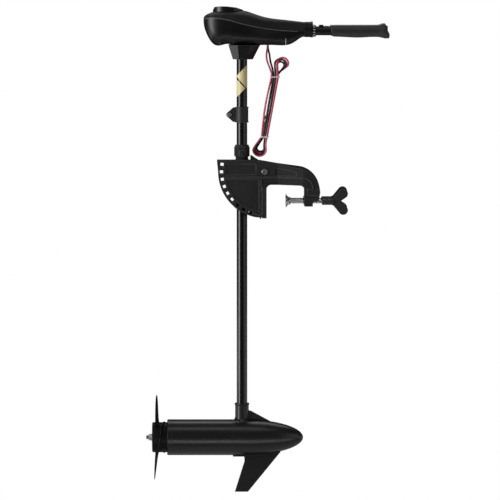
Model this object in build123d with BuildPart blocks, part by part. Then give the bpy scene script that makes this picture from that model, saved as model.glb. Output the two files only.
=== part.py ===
"""Transom-mount electric trolling motor.

Frame, in millimetres: the origin is the middle of the bracket's transom-bearing
face, at the height of the clamp screws. +X points into the boat (the tiller
side), +Z is up along the shaft, and the two clamp screws lie at +Y and -Y.
"""

import os
from math import atan2, cos, degrees, pi, radians, sin, tan

from build123d import *

# ---------------------------------------------------------------- driving sizes
SHAFT_X = -65
SHAFT_R = 14
SHAFT_BORE_R = 11.5
SHAFT_TOP = 436
SHAFT_BOTTOM = -580
RUNNING = 0.05  # radial clearance of a running fit
PLAY = 0.5  # side play between neighbouring bodies

PIVOT_X, PIVOT_Z = -5, 78
PIVOT_R = 5
CHEEK_IN, CHEEK_OUT = 20, 26  # inner and outer face of a bracket cheek, from Y = 0
RIM_R = 123  # rim of the quadrant, about the tilt pivot
HOLE_RADIUS = 114  # of the ring of lock holes
HOLE_ANGLES = [9 - 10 * step for step in range(9)]
LOCK_ANGLE = HOLE_ANGLES[-1]
FACE_HALF_HEIGHT = 43.5  # of the transom-bearing face
THROAT = 99.4  # from the transom face to the inside of the clamp arms
BRIDGE_Z = 43  # underside of the bridge over the transom
SCREW_Y = 52
SCREW_R = 4.25
PAD_FACE_X = 50.4

BUSH_R = 15.3  # outside of the swivel bush
HINGE_HALF = CHEEK_IN - PLAY
COLLAR_BOTTOM, COLLAR_TOP = 116.6, 144
DEPTH_BOTTOM, DEPTH_TOP = 206.7, 247.5

MOTOR_Z = -629.4
MOTOR_R = 47.5
MOTOR_WALL = 3
MOTOR_TUBE = (-248, -90.4)
NOSE_CENTRE_X, NOSE_LENGTH = -60, 157
AXLE_R = 5
BOLT_RING = 39.5  # radius of the ring of through-bolts
PROP_R = 112
HUB_R = 40

TILLER_Z = 448
TILLER_R = 12
GRIP_START, GRIP_END = 168, 324.6

LEAD_R = 2.5
HANK_HALF = 9  # half thickness of the folded leads, along Y

# ---------------------------------------------------------------- planes and axes
SIDE = Plane.XZ  # a side view: sketch coordinates are X and Z
SHAFT_AXIS = Axis((SHAFT_X, 0, 0), (0, 0, 1))
MOTOR_SIDE = Plane(origin=(0, 0, MOTOR_Z), x_dir=(1, 0, 0), z_dir=(0, -1, 0))
MOTOR_AXIS = Axis((0, 0, MOTOR_Z), (1, 0, 0))
TILLER_SIDE = Plane(origin=(0, 0, TILLER_Z), x_dir=(1, 0, 0), z_dir=(0, -1, 0))
TILLER_AXIS = Axis((0, 0, TILLER_Z), (1, 0, 0))

os.makedirs("parts", exist_ok=True)


def finish(builder, name):
    """Label a finished piece and write its STEP file."""
    builder.part.label = name
    export_step(builder.part, f"parts/{name}.step")


def across(z, x=0.0, y=0.0):
    """A level plane at height z, with its origin at x, y."""
    return Plane(origin=(x, y, z), x_dir=(1, 0, 0), z_dir=(0, 0, 1))


def facing_y(x, y, z):
    """A plane at a point that looks along +Y; sketch x is +X and sketch y is -Z."""
    return Plane(origin=(x, y, z), x_dir=(1, 0, 0), z_dir=(0, 1, 0))


def facing_x(x, y, z):
    """A plane at a point that looks along +X; sketch x is +Y and sketch y is +Z."""
    return Plane(origin=(x, y, z), x_dir=(0, 1, 0), z_dir=(1, 0, 0))


def turned(plane, axis, *points, mode=Mode.ADD):
    """A solid of revolution from a closed outline."""
    with BuildSketch(plane) as outline:
        with BuildLine():
            Polyline(*points, close=True)
        make_face()
    revolve(outline.sketch, axis=axis, mode=mode)


def round_bar(plane, radius, length, mode=Mode.ADD):
    with BuildSketch(plane) as end:
        Circle(radius)
    extrude(end.sketch, amount=length, mode=mode)


def tube(plane, outer, inner, length):
    with BuildSketch(plane) as end:
        Circle(outer)
        Circle(inner, mode=Mode.SUBTRACT)
    extrude(end.sketch, amount=length)


def side_plate(points, half_width, mode=Mode.ADD):
    """A plate with a side-view outline, centred on Y = 0."""
    with BuildSketch(SIDE) as outline:
        with BuildLine():
            Polyline(*points, close=True)
        make_face()
    extrude(outline.sketch, amount=half_width, both=True, mode=mode)


def pan_screw(plane, head_r, head_h, shank_r, length):
    """A pan-head screw with a hexagon socket; its shank points against the plane."""
    round_bar(plane, head_r, head_h)
    fillet(faces().sort_by(Axis(plane.origin, plane.z_dir))[-1].edges(), head_h * 0.4)
    with BuildSketch(plane.offset(head_h)) as socket:
        RegularPolygon(head_r * 0.45, 6)
    extrude(socket.sketch, amount=-head_h * 0.55, mode=Mode.SUBTRACT)
    round_bar(plane, shank_r, -length)


# ---------------------------------------------------------------- bracket
ARM_CENTRE = (76, 24)
ARM_R = 65
ARM_START = 80.3  # degrees, where the sloping top meets the arm's round outside
INNER_FILLET = 12
POST_TIP = (137, 3)
RELIEF = 2.0


def on_arm(angle):
    """A point on the arm's round outside, in side view."""
    return (
        ARM_CENTRE[0] + ARM_R * cos(radians(angle)),
        ARM_CENTRE[1] + ARM_R * sin(radians(angle)),
    )


def on_quadrant(angle, radius=RIM_R):
    """A point about the pivot, with the angle up from straight back."""
    return (PIVOT_X - radius * cos(radians(angle)), PIVOT_Z + radius * sin(radians(angle)))


def arm_plan(grow=0.0):
    """The bracket seen from above: two cheeks that join and part again as two arms."""
    cheek = CHEEK_OUT + grow
    with BuildSketch(across(-60)) as plan:
        for side in (1, -1):
            with BuildLine():
                Polyline(
                    (-140, side * CHEEK_IN),
                    (-140, side * cheek),
                    (30, side * cheek),
                    (95, side * (63 + grow)),
                    (145, side * (63 + grow)),
                    (145, side * 41),
                    (100, side * 41),
                    (62, 0),
                    (16, 0),
                    (16, side * CHEEK_IN),
                    close=True,
                )
            make_face()
    return plan.sketch


with BuildPart() as rib_relief:
    with BuildSketch(SIDE):
        with BuildLine() as rib_line:
            Line((-113, 62.5), (97, 62.5))
            RadiusArc((97, 62.5), (122, 37.5), 25)
            Line((122, 37.5), (122, 31))
        trace(line_width=3)
        with BuildLine() as border_line:
            Polyline((-14, 57), (-14, -38.5), (-36, -30))
        trace(line_width=2)
        with BuildLine() as post_line:
            Polyline((107, 17), (139, 17), (139, 34), (107, 34), close=True)
        make_face()
    extrude(amount=70, both=True)
    extrude(arm_plan(RELIEF), amount=200, mode=Mode.INTERSECT)

with BuildPart() as panel_relief:
    with BuildSketch(SIDE):
        with BuildLine():
            Polyline((-108, 70), (-28, 70), (-28, 98), (-108, 98), close=True)
        make_face()
        with BuildLine():
            Polyline((22, 67.5), (78, 67.5), (78, 76), (72, 80), (22, 87), close=True)
        make_face()
        with BuildSketch(SIDE, mode=Mode.PRIVATE) as quarter:
            with Locations((PIVOT_X, PIVOT_Z)):
                Circle(RIM_R - 19)
            with Locations((-95, -18)):
                Rectangle(150, 150, mode=Mode.INTERSECT)
        add(quarter.sketch)
    extrude(amount=70, both=True)
    extrude(arm_plan(-RELIEF), amount=200, mode=Mode.SUBTRACT)

LADDER = [14 + 16 * step for step in range(6)]

rim_low = degrees(atan2(PIVOT_Z + FACE_HALF_HEIGHT, 22))
back_low = on_quadrant(-rim_low)

with BuildPart() as bracket_body:
    # Side view: quadrant, transom face, bridge and clamp arm.
    with BuildSketch(SIDE):
        with BuildLine():
            Polyline((-131, 107), (-24, 107), on_arm(ARM_START))
            ThreePointArc(on_arm(ARM_START), on_arm(40), on_arm(0))
            Polyline(
                on_arm(0), POST_TIP, (THROAT, POST_TIP[1]), (THROAT, BRIDGE_Z - INNER_FILLET)
            )
            RadiusArc(
                (THROAT, BRIDGE_Z - INNER_FILLET), (THROAT - INNER_FILLET, BRIDGE_Z), -INNER_FILLET
            )
            Line((THROAT - INNER_FILLET, BRIDGE_Z), (INNER_FILLET, BRIDGE_Z))
            RadiusArc((INNER_FILLET, BRIDGE_Z), (0, BRIDGE_Z - INNER_FILLET), -INNER_FILLET)
            Polyline((0, BRIDGE_Z - INNER_FILLET), (0, -FACE_HALF_HEIGHT), back_low)
            ThreePointArc(back_low, on_quadrant(-35), on_quadrant(0))
            Line(on_quadrant(0), (-131, 107))
        make_face()
    extrude(amount=70, both=True)
    extrude(arm_plan(), amount=200, mode=Mode.INTERSECT)
    # Transom plate, wider than the cheeks, and its bridge between them.
    with BuildSketch(facing_x(-12, 0, 0)):
        RectangleRounded(120, 2 * FACE_HALF_HEIGHT, 8)
    extrude(amount=12)
    with Locations((-6, 0, BRIDGE_Z - 1)):
        Box(12, 2 * CHEEK_IN + 2, 22)
    with Locations((8, 0, BRIDGE_Z + 6)):
        Box(20, 2 * CHEEK_IN + 2, 12)
    # Stiffening ribs behind the plate's wings.
    for y in (-42, 42):
        side_gusset = [(-12, -34), (-24, -24), (-24, 24), (-12, 34)]
        with BuildSketch(SIDE.offset(-y)):
            with BuildLine():
                Polyline(*side_gusset, close=True)
            make_face()
        extrude(amount=2.5, both=True)
    for y in (-34, 34):
        with Locations((-18, y, 0)):
            Box(8, 18, 5)
    # Bosses for the clamp screws.
    with BuildSketch(facing_x(THROAT, 0, 0)):
        with Locations((-SCREW_Y, 0), (SCREW_Y, 0)):
            Circle(12.5)
    extrude(amount=22.2)
    add(rib_relief.part)
    add(panel_relief.part, mode=Mode.SUBTRACT)
    # Open ladder of pockets along the top of the bridge and arms.
    for x in LADDER:
        top = 107 - 0.1705 * (x + 5 + 24)
        reach = CHEEK_OUT - 6 if x < 30 else CHEEK_OUT - 6 + (x - 30) * 0.585
        with BuildSketch(across(top - 14, x + 5)):
            Rectangle(11, 2 * reach)
            if x > 60:
                Rectangle(11, 2 * (x - 50), mode=Mode.SUBTRACT)
        extrude(amount=40, mode=Mode.SUBTRACT)
    # Lock holes through both cheeks.
    for angle in HOLE_ANGLES:
        x, z = on_quadrant(angle, HOLE_RADIUS)
        with BuildSketch(SIDE):
            with Locations(Location((x, z), -angle)):
                Rectangle(8.6, 10.6)
        extrude(amount=60, both=True, mode=Mode.SUBTRACT)
    # Pivot bore and bores for the threaded inserts.
    round_bar(facing_y(PIVOT_X, -60, PIVOT_Z), PIVOT_R + RUNNING, 120, Mode.SUBTRACT)
    with BuildSketch(facing_x(THROAT - 2, 0, 0)):
        with Locations((-SCREW_Y, 0), (SCREW_Y, 0)):
            Circle(7)
    extrude(amount=28, mode=Mode.SUBTRACT)
    for y in (-SCREW_Y, SCREW_Y):
        round_bar(facing_x(THROAT, y, 0), SCREW_R + 1, 60, Mode.SUBTRACT)
    # A small drip nub under the transom plate.
    with Locations((-16, -23, -FACE_HALF_HEIGHT - 1)):
        Box(4, 4, 5)
finish(bracket_body, "bracket_body")

with BuildPart() as clamp_inserts:
    for y in (-SCREW_Y, SCREW_Y):
        tube(facing_x(THROAT, y, 0), 7, SCREW_R + RUNNING, 22)
        tube(facing_x(THROAT - 2, y, 0), 9, SCREW_R + RUNNING, 2)
finish(clamp_inserts, "clamp_inserts")

with BuildPart() as pivot_bolt:
    pan_screw(facing_y(PIVOT_X, -CHEEK_OUT, PIVOT_Z).rotated((180, 0, 0)), 7.6, 4, PIVOT_R, 66)
finish(pivot_bolt, "pivot_bolt")

with BuildPart() as pivot_nut:
    tube(facing_y(PIVOT_X, CHEEK_OUT, PIVOT_Z), 9, PIVOT_R, 1.5)
    with BuildSketch(facing_y(PIVOT_X, CHEEK_OUT + 1.5, PIVOT_Z)):
        RegularPolygon(9.2, 6)
        Circle(PIVOT_R, mode=Mode.SUBTRACT)
    extrude(amount=8)
finish(pivot_nut, "pivot_nut")

# ---------------------------------------------------------------- transom clamps
PAD_R = 15
HUB_START, HUB_END = 145.5, 176
WING_TIP = (201.5, 21.7)
WING_R = 12.4

for y, side in ((-SCREW_Y, "near"), (SCREW_Y, "far")):
    clamp_side = Plane(origin=(0, y, 0), x_dir=(1, 0, 0), z_dir=(0, -1, 0))
    clamp_axis = Axis((0, y, 0), (1, 0, 0))

    with BuildPart() as clamp_pad:
        with BuildSketch(clamp_side):
            with BuildLine():
                Polyline((PAD_FACE_X, 0), (PAD_FACE_X, PAD_R), (PAD_FACE_X + 1.4, PAD_R))
                Spline(
                    (PAD_FACE_X + 1.4, PAD_R),
                    (PAD_FACE_X + 5, 8.6),
                    (PAD_FACE_X + 10, 6.8),
                    tangents=[(0.3, -1), (1, 0)],
                )
                Polyline(
                    (PAD_FACE_X + 10, 6.8),
                    (PAD_FACE_X + 13, 6.8),
                    (PAD_FACE_X + 13, SCREW_R + RUNNING),
                    (PAD_FACE_X + 3.5, SCREW_R + RUNNING),
                    (PAD_FACE_X + 3.5, 0),
                    (PAD_FACE_X, 0),
                )
            make_face()
        revolve(axis=clamp_axis)
    finish(clamp_pad, f"clamp_pad_{side}")

    with BuildPart() as clamp_screw:
        start = PAD_FACE_X + 3.8
        round_bar(facing_x(start, y, 0), SCREW_R, HUB_END - 8 - start)
        chamfer(faces().sort_by(Axis.X)[0].edges(), 1)
    finish(clamp_screw, f"clamp_screw_{side}")

    with BuildPart() as clamp_knob:
        round_bar(facing_x(HUB_START, y, 0), 8, HUB_END - HUB_START)
        chamfer(faces().sort_by(Axis.X)[0].edges(), 1)
        with BuildSketch(clamp_side):
            for up in (1, -1):
                with BuildSketch(clamp_side, mode=Mode.PRIVATE) as wing:
                    with Locations((WING_TIP[0], up * WING_TIP[1])):
                        Circle(WING_R)
                    with Locations((181, up * 3)):
                        Circle(8.5)
                    make_hull()
                add(wing.sketch)
            with Locations((177, 0)):
                Circle(9.5)
        extrude(amount=5, both=True)
        fillet(edges().filter_by(Plane.XZ).filter_by(lambda e: e.center().X > 186), 1.5)
        round_bar(facing_x(HUB_START - 1, y, 0), SCREW_R, HUB_END - 7 - HUB_START, Mode.SUBTRACT)
    finish(clamp_knob, f"clamp_knob_{side}")

# ---------------------------------------------------------------- tilting hinge block
HOUSING_TOP, HOUSING_BOTTOM = 108, -18
LOCK_X, LOCK_Z = on_quadrant(LOCK_ANGLE, HOLE_RADIUS)
LOCK_HALF = 4  # half side of the square lock pins
LOCK_TRAVEL = 8
BAR_X = (-37.3, -34.3)  # the release bar's front and back
BAR_HALF = 13
KNUCKLE_R = 16.5

with BuildPart() as hinge_block:
    with BuildSketch(across(HOUSING_BOTTOM, SHAFT_X)):
        RectangleRounded(41, 2 * HINGE_HALF, 12)
    extrude(amount=HOUSING_TOP - HOUSING_BOTTOM)
    side_plate([(-55, 58), (PIVOT_X, 62), (PIVOT_X, 88), (-55, 88)], HINGE_HALF)
    round_bar(facing_y(PIVOT_X, -HINGE_HALF, PIVOT_Z), KNUCKLE_R, 2 * HINGE_HALF)
    # Lower housing for the lock pins, with the guide of the release bar in front.
    side_plate([(-46, -37), (-30, -40), (-30, -14), (-44, 6), (-46, 6)], HINGE_HALF)
    side_plate([(-44, 0), (-30, -14), (-30, 62), (-44, 62)], BAR_HALF + 3.5)
    # Spigot that the steering collar squeezes.
    round_bar(across(HOUSING_TOP, SHAFT_X), BUSH_R + 1.4, COLLAR_TOP - HOUSING_TOP - 1)
    round_bar(across(-60, SHAFT_X), BUSH_R + RUNNING, 260, Mode.SUBTRACT)
    round_bar(facing_y(PIVOT_X, -60, PIVOT_Z), PIVOT_R + 3, 120, Mode.SUBTRACT)
    # Square bore for the lock pins, and the slot that the release bar runs in.
    side_plate(
        [
            (LOCK_X - LOCK_HALF - 0.1, LOCK_Z - LOCK_HALF - 0.1),
            (LOCK_X + LOCK_HALF + 0.1, LOCK_Z - LOCK_HALF - 0.1),
            (LOCK_X + LOCK_HALF + 0.1, LOCK_Z + LOCK_HALF + 0.1),
            (LOCK_X - LOCK_HALF - 0.1, LOCK_Z + LOCK_HALF + 0.1),
        ],
        60,
        Mode.SUBTRACT,
    )
    side_plate([(BAR_X[0] - 0.9, -60), (-33.6, -60), (-33.6, 120), (BAR_X[0] - 0.9, 120)],
               BAR_HALF + 0.2, Mode.SUBTRACT)
finish(hinge_block, "hinge_block")

with BuildPart() as pivot_bush:
    tube(facing_y(PIVOT_X, -HINGE_HALF, PIVOT_Z), PIVOT_R + 3, PIVOT_R + RUNNING, 2 * HINGE_HALF)
finish(pivot_bush, "pivot_bush")

with BuildPart() as steering_collar:
    with BuildSketch(across(COLLAR_BOTTOM, SHAFT_X)):
        RegularPolygon(20.5 / cos(pi / 8), 8, rotation=22.5)
    extrude(amount=COLLAR_TOP - COLLAR_BOTTOM)
    chamfer(faces().sort_by(Axis.Z)[-1].edges() + faces().sort_by(Axis.Z)[0].edges(), 2.5)
    round_bar(across(COLLAR_TOP, SHAFT_X), 18.2, 3.4)
    with Locations((SHAFT_X + 1.5, -20, 126)):
        Box(15, 9, 17)
    round_bar(across(0, SHAFT_X), BUSH_R + 1.4, COLLAR_TOP - 1, Mode.SUBTRACT)
    round_bar(across(0, SHAFT_X), BUSH_R + 0.1, 200, Mode.SUBTRACT)
    # Clamping slit on the far side, and the bores of the two screws.
    with Locations((SHAFT_X - 12, 20, 130)):
        Box(2, 16, 60, mode=Mode.SUBTRACT)
    round_bar(facing_y(SHAFT_X + 1.5, -40, 125), 2.5, 22.5, Mode.SUBTRACT)
    round_bar(facing_y(SHAFT_X, 17.5, 130), 3, 20, Mode.SUBTRACT)
finish(steering_collar, "steering_collar")

with BuildPart() as steering_screw:
    pan_screw(facing_y(SHAFT_X + 1.5, -24.5, 125).rotated((180, 0, 0)), 3.4, 2.5, 2.4, 6.5)
finish(steering_screw, "steering_screw")

with BuildPart() as tension_knob:
    with BuildSketch(facing_y(SHAFT_X, 21.2, 130)):
        Circle(9.5)
        with PolarLocations(9.5, 6):
            Circle(2.2, mode=Mode.SUBTRACT)
    extrude(amount=6)
    fillet(faces().sort_by(Axis.Y)[-1].edges(), 0.8)
    round_bar(facing_y(SHAFT_X, 18, 130), 2.95, 4)
finish(tension_knob, "tension_knob")

with BuildPart() as tilt_release_bar:
    with Locations(((BAR_X[0] + BAR_X[1]) / 2, 0, 33)):
        Box(BAR_X[1] - BAR_X[0], 2 * BAR_HALF, 138)
    side_plate([(-43, 101), (-17, 101), (-17, 104), (-43, 121.5)], BAR_HALF + 1)
    fillet(edges().filter_by(Axis.Y).sort_by(Axis.Z)[-1:], 2)
    # Slanting cam slots that draw the lock pins inward as the bar goes down.
    for side in (1, -1):
        with BuildSketch(facing_x(BAR_X[0] - 1, 0, LOCK_Z)):
            with BuildLine():
                Line((side * 12.2, -1.7), (side * 1.3, 9.2))
            trace(line_width=3.4)
        extrude(amount=6, mode=Mode.SUBTRACT)
finish(tilt_release_bar, "tilt_release_bar")

for y, side in ((-1, "near"), (1, "far")):
    with BuildPart() as lock_pin:
        with Locations((LOCK_X, y * 14, LOCK_Z)):
            Box(2 * LOCK_HALF, 10.8, 2 * LOCK_HALF)
        chamfer(faces().sort_by(Axis.Y)[-1 if y > 0 else 0].edges(), 1)
        round_bar(facing_x(LOCK_X + 3, y * 10.5, LOCK_Z), 1.6, BAR_X[1] + 0.4 - LOCK_X - 3)
    finish(lock_pin, f"lock_pin_{side}")

with BuildPart() as release_spring:
    with Locations((-35.8, 0, -39.3)):
        Box(2.4, 20, 3.4)
finish(release_spring, "release_spring")

with BuildPart() as swivel_bush:
    tube(across(HOUSING_BOTTOM, SHAFT_X), BUSH_R, SHAFT_R + RUNNING, COLLAR_TOP - 1 - HOUSING_BOTTOM)
    tube(across(HOUSING_BOTTOM - 3.3, SHAFT_X), 17, SHAFT_R + RUNNING, 3)
    tube(across(HOUSING_BOTTOM - 0.4, SHAFT_X), BUSH_R - 0.5, SHAFT_R + RUNNING, 1)
finish(swivel_bush, "swivel_bush")

# ---------------------------------------------------------------- shaft and depth collar
with BuildPart() as shaft_tube:
    tube(across(SHAFT_BOTTOM, SHAFT_X), SHAFT_R, SHAFT_BORE_R, SHAFT_TOP - SHAFT_BOTTOM)
finish(shaft_tube, "shaft_tube")

LABEL_T = 0.15
with BuildPart() as shaft_label:
    tube(across(255, SHAFT_X), SHAFT_R + LABEL_T, SHAFT_R, 120)
    with BuildSketch(SIDE):
        with BuildLine():
            Polyline((-50.5, 360), (-80, 328.6), (-50.5, 294.4), close=True)
        make_face()
        with BuildLine():
            Polyline((-79.5, 321), (-56, 296.8), (-79.5, 272.7), close=True)
        make_face()
    extrude(amount=20, both=True, mode=Mode.INTERSECT)
finish(shaft_label, "shaft_label")

EAR_X, EAR_Z = -97.5, 227
with BuildPart() as depth_collar:
    tube(across(DEPTH_BOTTOM, SHAFT_X), 16.8, SHAFT_R + RUNNING, DEPTH_TOP - DEPTH_BOTTOM)
    for z in (DEPTH_BOTTOM, DEPTH_TOP - 2.6):
        tube(across(z, SHAFT_X), 17.9, SHAFT_R + RUNNING, 2.6)
    side_plate([(-79.2, 208), (-88, 208), (-106, 224), (-106, 230), (-88, 246), (-79.2, 246)], 8)
    side_plate([(-120, 200), (-78, 200), (-78, 260), (-120, 260)], 1.2, Mode.SUBTRACT)
    round_bar(facing_y(EAR_X, -30, EAR_Z), 2.6, 60, Mode.SUBTRACT)
finish(depth_collar, "depth_collar")

with BuildPart() as collar_bolt:
    pan_screw(facing_y(EAR_X, -8, EAR_Z).rotated((180, 0, 0)), 5.2, 4, 2.5, 30)
finish(collar_bolt, "collar_bolt")

with BuildPart() as collar_knob:
    with BuildSketch(facing_y(EAR_X, 8.3, EAR_Z)):
        Circle(7.6)
        with PolarLocations(8.4, 7):
            Circle(1.9, mode=Mode.SUBTRACT)
    extrude(amount=11)
    round_bar(facing_y(EAR_X, 0, EAR_Z), 2.55, 30, Mode.SUBTRACT)
finish(collar_knob, "collar_knob")

# ---------------------------------------------------------------- control head
# Stations along X: half width, underside, parting line and top of the shell.
HEAD_STATIONS = [
    (-166, 9, 470, 476.5, 480.5),
    (-164.5, 21, 460, 478.5, 485),
    (-160, 33, 445, 481.5, 489.5),
    (-150, 43.5, 425, 483.8, 494.6),
    (-137, 50, 411.5, 484, 498.5),
    (-118, 54, 410.5, 482.2, 501),
    (-90, 55, 410.5, 476, 502.4),
    (-52, 51, 410.5, 466, 499.3),
    (-15, 42, 410.5, 458.2, 487),
    (19, 32.5, 410.5, 453, 480),
    (56, 25.5, 411, 449.7, 476),
    (80, 22, 423, 448.4, 473.2),
    (100, 20, 432, 448, 471),
]
SHELL = 3
SQUARENESS = {"up": 2.3, "down": 2.9}
SEAM = 0.25  # half the gap between the two covers
LEDGE = 1.2  # step in from the lower cover's rim to the upper cover
PANEL_GAP = 0.8  # around the junction cover


def head_half(way, inset=0.0):
    """The head's shell above or below its parting line, as one lofted solid."""
    sections = []
    for x, half, low, parting, high in HEAD_STATIONS:
        if inset and not -163 < x < 99:
            continue
        far = high - inset if way == "up" else low + inset
        edge = parting + (SEAM if way == "up" else -SEAM) * (-8 if inset else 1)
        power = 2 / SQUARENESS[way]
        wide = half - inset - (LEDGE if way == "up" else 0)
        line = [
            (
                wide * (1 if cos(t) >= 0 else -1) * abs(cos(t)) ** power,
                edge + (far - edge) * abs(sin(t)) ** power,
            )
            for t in [pi * step / 12 for step in range(13)]
        ]
        with BuildSketch(Plane.YZ.offset(x)) as section:
            with BuildLine():
                Spline(*line)
                Line(line[-1], line[0])
            make_face()
        sections.append(section.sketch.face())
    loft(sections)


with BuildPart() as upper_form:
    head_half("up")
with BuildPart() as upper_cavity:
    head_half("up", SHELL)
with BuildPart() as lower_form:
    head_half("down")
with BuildPart() as lower_cavity:
    head_half("down", SHELL)

JUNCTION = [(-62, 395), (-62, 416.7), (50, 427.8), (50, 395)]
LEAD_EXIT = (3, 410.6)
junction_gap = [
    (x + PANEL_GAP * (1 if x > 0 else -1), z + (PANEL_GAP if z > 400 else 0)) for x, z in JUNCTION
]

with BuildPart() as lower_shell:
    add(lower_form.part)
    add(lower_cavity.part, mode=Mode.SUBTRACT)

with BuildPart() as junction_cover:
    add(lower_shell.part)
    side_plate(JUNCTION, 60, Mode.INTERSECT)
    round_bar(across(400, SHAFT_X), 16, 40, Mode.SUBTRACT)
    # Boss that the two leads come out of, and the bores of its two screws.
    round_bar(across(LEAD_EXIT[1], LEAD_EXIT[0]), 8, 8)
    for y in (-2.8, 2.8):
        round_bar(across(400, LEAD_EXIT[0], y), LEAD_R + 0.05, 40, Mode.SUBTRACT)
finish(junction_cover, "junction_cover")

with BuildPart() as head_lower_cover:
    add(lower_shell.part)
    side_plate(junction_gap, 70, Mode.SUBTRACT)
    round_bar(across(400, SHAFT_X), SHAFT_R + 0.3, 30, Mode.SUBTRACT)
    # Socket for the shaft's top.
    tube(across(418, SHAFT_X), 18, SHAFT_R + 0.02, 16)
    side_plate([(-95, 411.5), (-35, 411.5), (-35, 421), (-95, 421)], 8)
    round_bar(across(400, SHAFT_X), SHAFT_R + 0.02, 60, Mode.SUBTRACT)
    round_bar(facing_x(78, 0, TILLER_Z), TILLER_R + RUNNING, 40, Mode.SUBTRACT)
    side_plate(junction_gap, 70, Mode.SUBTRACT)
finish(head_lower_cover, "head_lower_cover")

with BuildPart() as head_upper_cover:
    add(upper_form.part)
    add(upper_cavity.part, mode=Mode.SUBTRACT)
    round_bar(facing_x(78, 0, TILLER_Z), TILLER_R + RUNNING, 40, Mode.SUBTRACT)
finish(head_upper_cover, "head_upper_cover")

NECK_TOP, NECK_BOTTOM = 424, 373.4
with BuildPart() as neck:
    with BuildSketch(across(NECK_BOTTOM, SHAFT_X + 2.5)):
        RegularPolygon(26.5 / cos(pi / 8), 8, rotation=22.5)
    with BuildSketch(across(NECK_TOP, SHAFT_X + 7.5)):
        RegularPolygon(47 / cos(pi / 8), 8, rotation=22.5)
    loft()
    add(lower_form.part, mode=Mode.SUBTRACT)
    with BuildSketch(across(411.3, SHAFT_X)):
        Rectangle(300, 200)
    extrude(amount=40, mode=Mode.SUBTRACT)
    round_bar(across(300, SHAFT_X), SHAFT_R + 0.02, 200, Mode.SUBTRACT)
finish(neck, "neck")

# Battery gauge on top of the head.
GAUGE_X = -101.5
with BuildPart() as gauge_cap:
    with BuildSketch(SIDE):
        with BuildLine():
            Polyline((-61.5, 490), (-141.5, 490), (-141.5, 503), (-137, 510.4))
            ThreePointArc((-137, 510.4), (-112, 511.6), (-73, 506.6))
            Polyline((-73, 506.6), (-61.5, 502.8), (-61.5, 490))
        make_face()
    extrude(amount=40, both=True)
    with BuildSketch(across(470, GAUGE_X)):
        Ellipse(40, 30)
    extrude(amount=60, mode=Mode.INTERSECT)
    add(upper_form.part, mode=Mode.SUBTRACT)
    with BuildSketch(across(508.5, GAUGE_X - 12)):
        RectangleRounded(34, 20, 4)
    extrude(amount=10, mode=Mode.SUBTRACT)
    round_bar(across(504, GAUGE_X + 17), 5.6, 20, Mode.SUBTRACT)
finish(gauge_cap, "gauge_cap")

with BuildPart() as gauge_lens:
    with BuildSketch(across(508.5, GAUGE_X - 12)):
        RectangleRounded(33.8, 19.8, 3.9)
    extrude(amount=1.8)
    fillet(faces().sort_by(Axis.Z)[-1].edges(), 0.5)
finish(gauge_lens, "gauge_lens")

with BuildPart() as test_button:
    round_bar(across(506.3, GAUGE_X + 17), 5.5, 3.2)
    fillet(faces().sort_by(Axis.Z)[-1].edges(), 0.8)
finish(test_button, "test_button")

with BuildPart() as speed_switch:
    with Locations((66, 0, TILLER_Z)):
        Box(22, 24, 24)
    round_bar(facing_x(40, 0, TILLER_Z), 10, 20)
finish(speed_switch, "speed_switch")

with BuildPart() as head_screws:
    for x, y in ((-122, -34), (-122, 34), (70, -9), (70, 9)):
        bottom = 418 if x < 0 else 424
        round_bar(across(bottom, x, y), 1.8, 9)
        round_bar(across(bottom - 2, x, y), 3.4, 2)
finish(head_screws, "head_screws")

# ---------------------------------------------------------------- tiller
FERRULE_Z = 451.5
with BuildPart() as tiller_ferrule:
    with BuildSketch(facing_x(100.2, 0, FERRULE_Z)):
        Circle(20.2)
    extrude(amount=15)
    with BuildSketch(facing_x(115.2, 0, FERRULE_Z)):
        Circle(21)
    extrude(amount=6.8)
    with BuildSketch(facing_x(101.5, 0, FERRULE_Z)):
        with PolarLocations(20.6, 28):
            Circle(1.1)
    extrude(amount=12, mode=Mode.SUBTRACT)
    chamfer(faces().sort_by(Axis.X)[-1].edges(), 1)
    round_bar(facing_x(90, 0, TILLER_Z), TILLER_R + RUNNING, 60, Mode.SUBTRACT)
finish(tiller_ferrule, "tiller_ferrule")

with BuildPart() as dial_ring:
    turned(TILLER_SIDE, TILLER_AXIS,
           (122.5, TILLER_R), (122.5, 16.6), (128.2, 15.6), (130, 14.2), (130, TILLER_R))
finish(dial_ring, "dial_ring")

with BuildPart() as throttle_tube:
    tube(facing_x(84, 0, TILLER_Z), TILLER_R, TILLER_R - 2, 232)
    # Index bump beside the dial.
    with Locations((143.4, 0, TILLER_Z + TILLER_R + 1.2)):
        Box(12, 7, 5.4)
    with Locations((156.5, 0, TILLER_Z + TILLER_R)):
        Box(16, 5, 2)
    round_bar(facing_x(80, 0, TILLER_Z), TILLER_R - 2, 260, Mode.SUBTRACT)
finish(throttle_tube, "throttle_tube")

with BuildPart() as grip_sleeve:
    tube(facing_x(170, 0, TILLER_Z), TILLER_R + 1.6, TILLER_R + RUNNING, 149)
finish(grip_sleeve, "grip_sleeve")

with BuildPart() as tiller_grip:
    with BuildSketch(TILLER_SIDE):
        with BuildLine():
            Polyline((GRIP_START, TILLER_R + 1.6), (GRIP_START, 14.6), (169.5, 15.6))
            Spline(
                (169.5, 15.6), (205, 15.9), (238, 17.6), (272, 16.2), (296, 16.4), (312, 20.4),
                tangents=[(1, 0), (1, 0.15)],
            )
            Spline((312, 20.4), (321.5, 18.2), (GRIP_END, 9), tangents=[(1, 0.15), (0, -1)])
            Polyline((GRIP_END, 9), (GRIP_END, 0), (319.3, 0), (319.3, TILLER_R + 1.6),
                     (GRIP_START, TILLER_R + 1.6))
        make_face()
    revolve(axis=TILLER_AXIS)
finish(tiller_grip, "tiller_grip")

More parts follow.
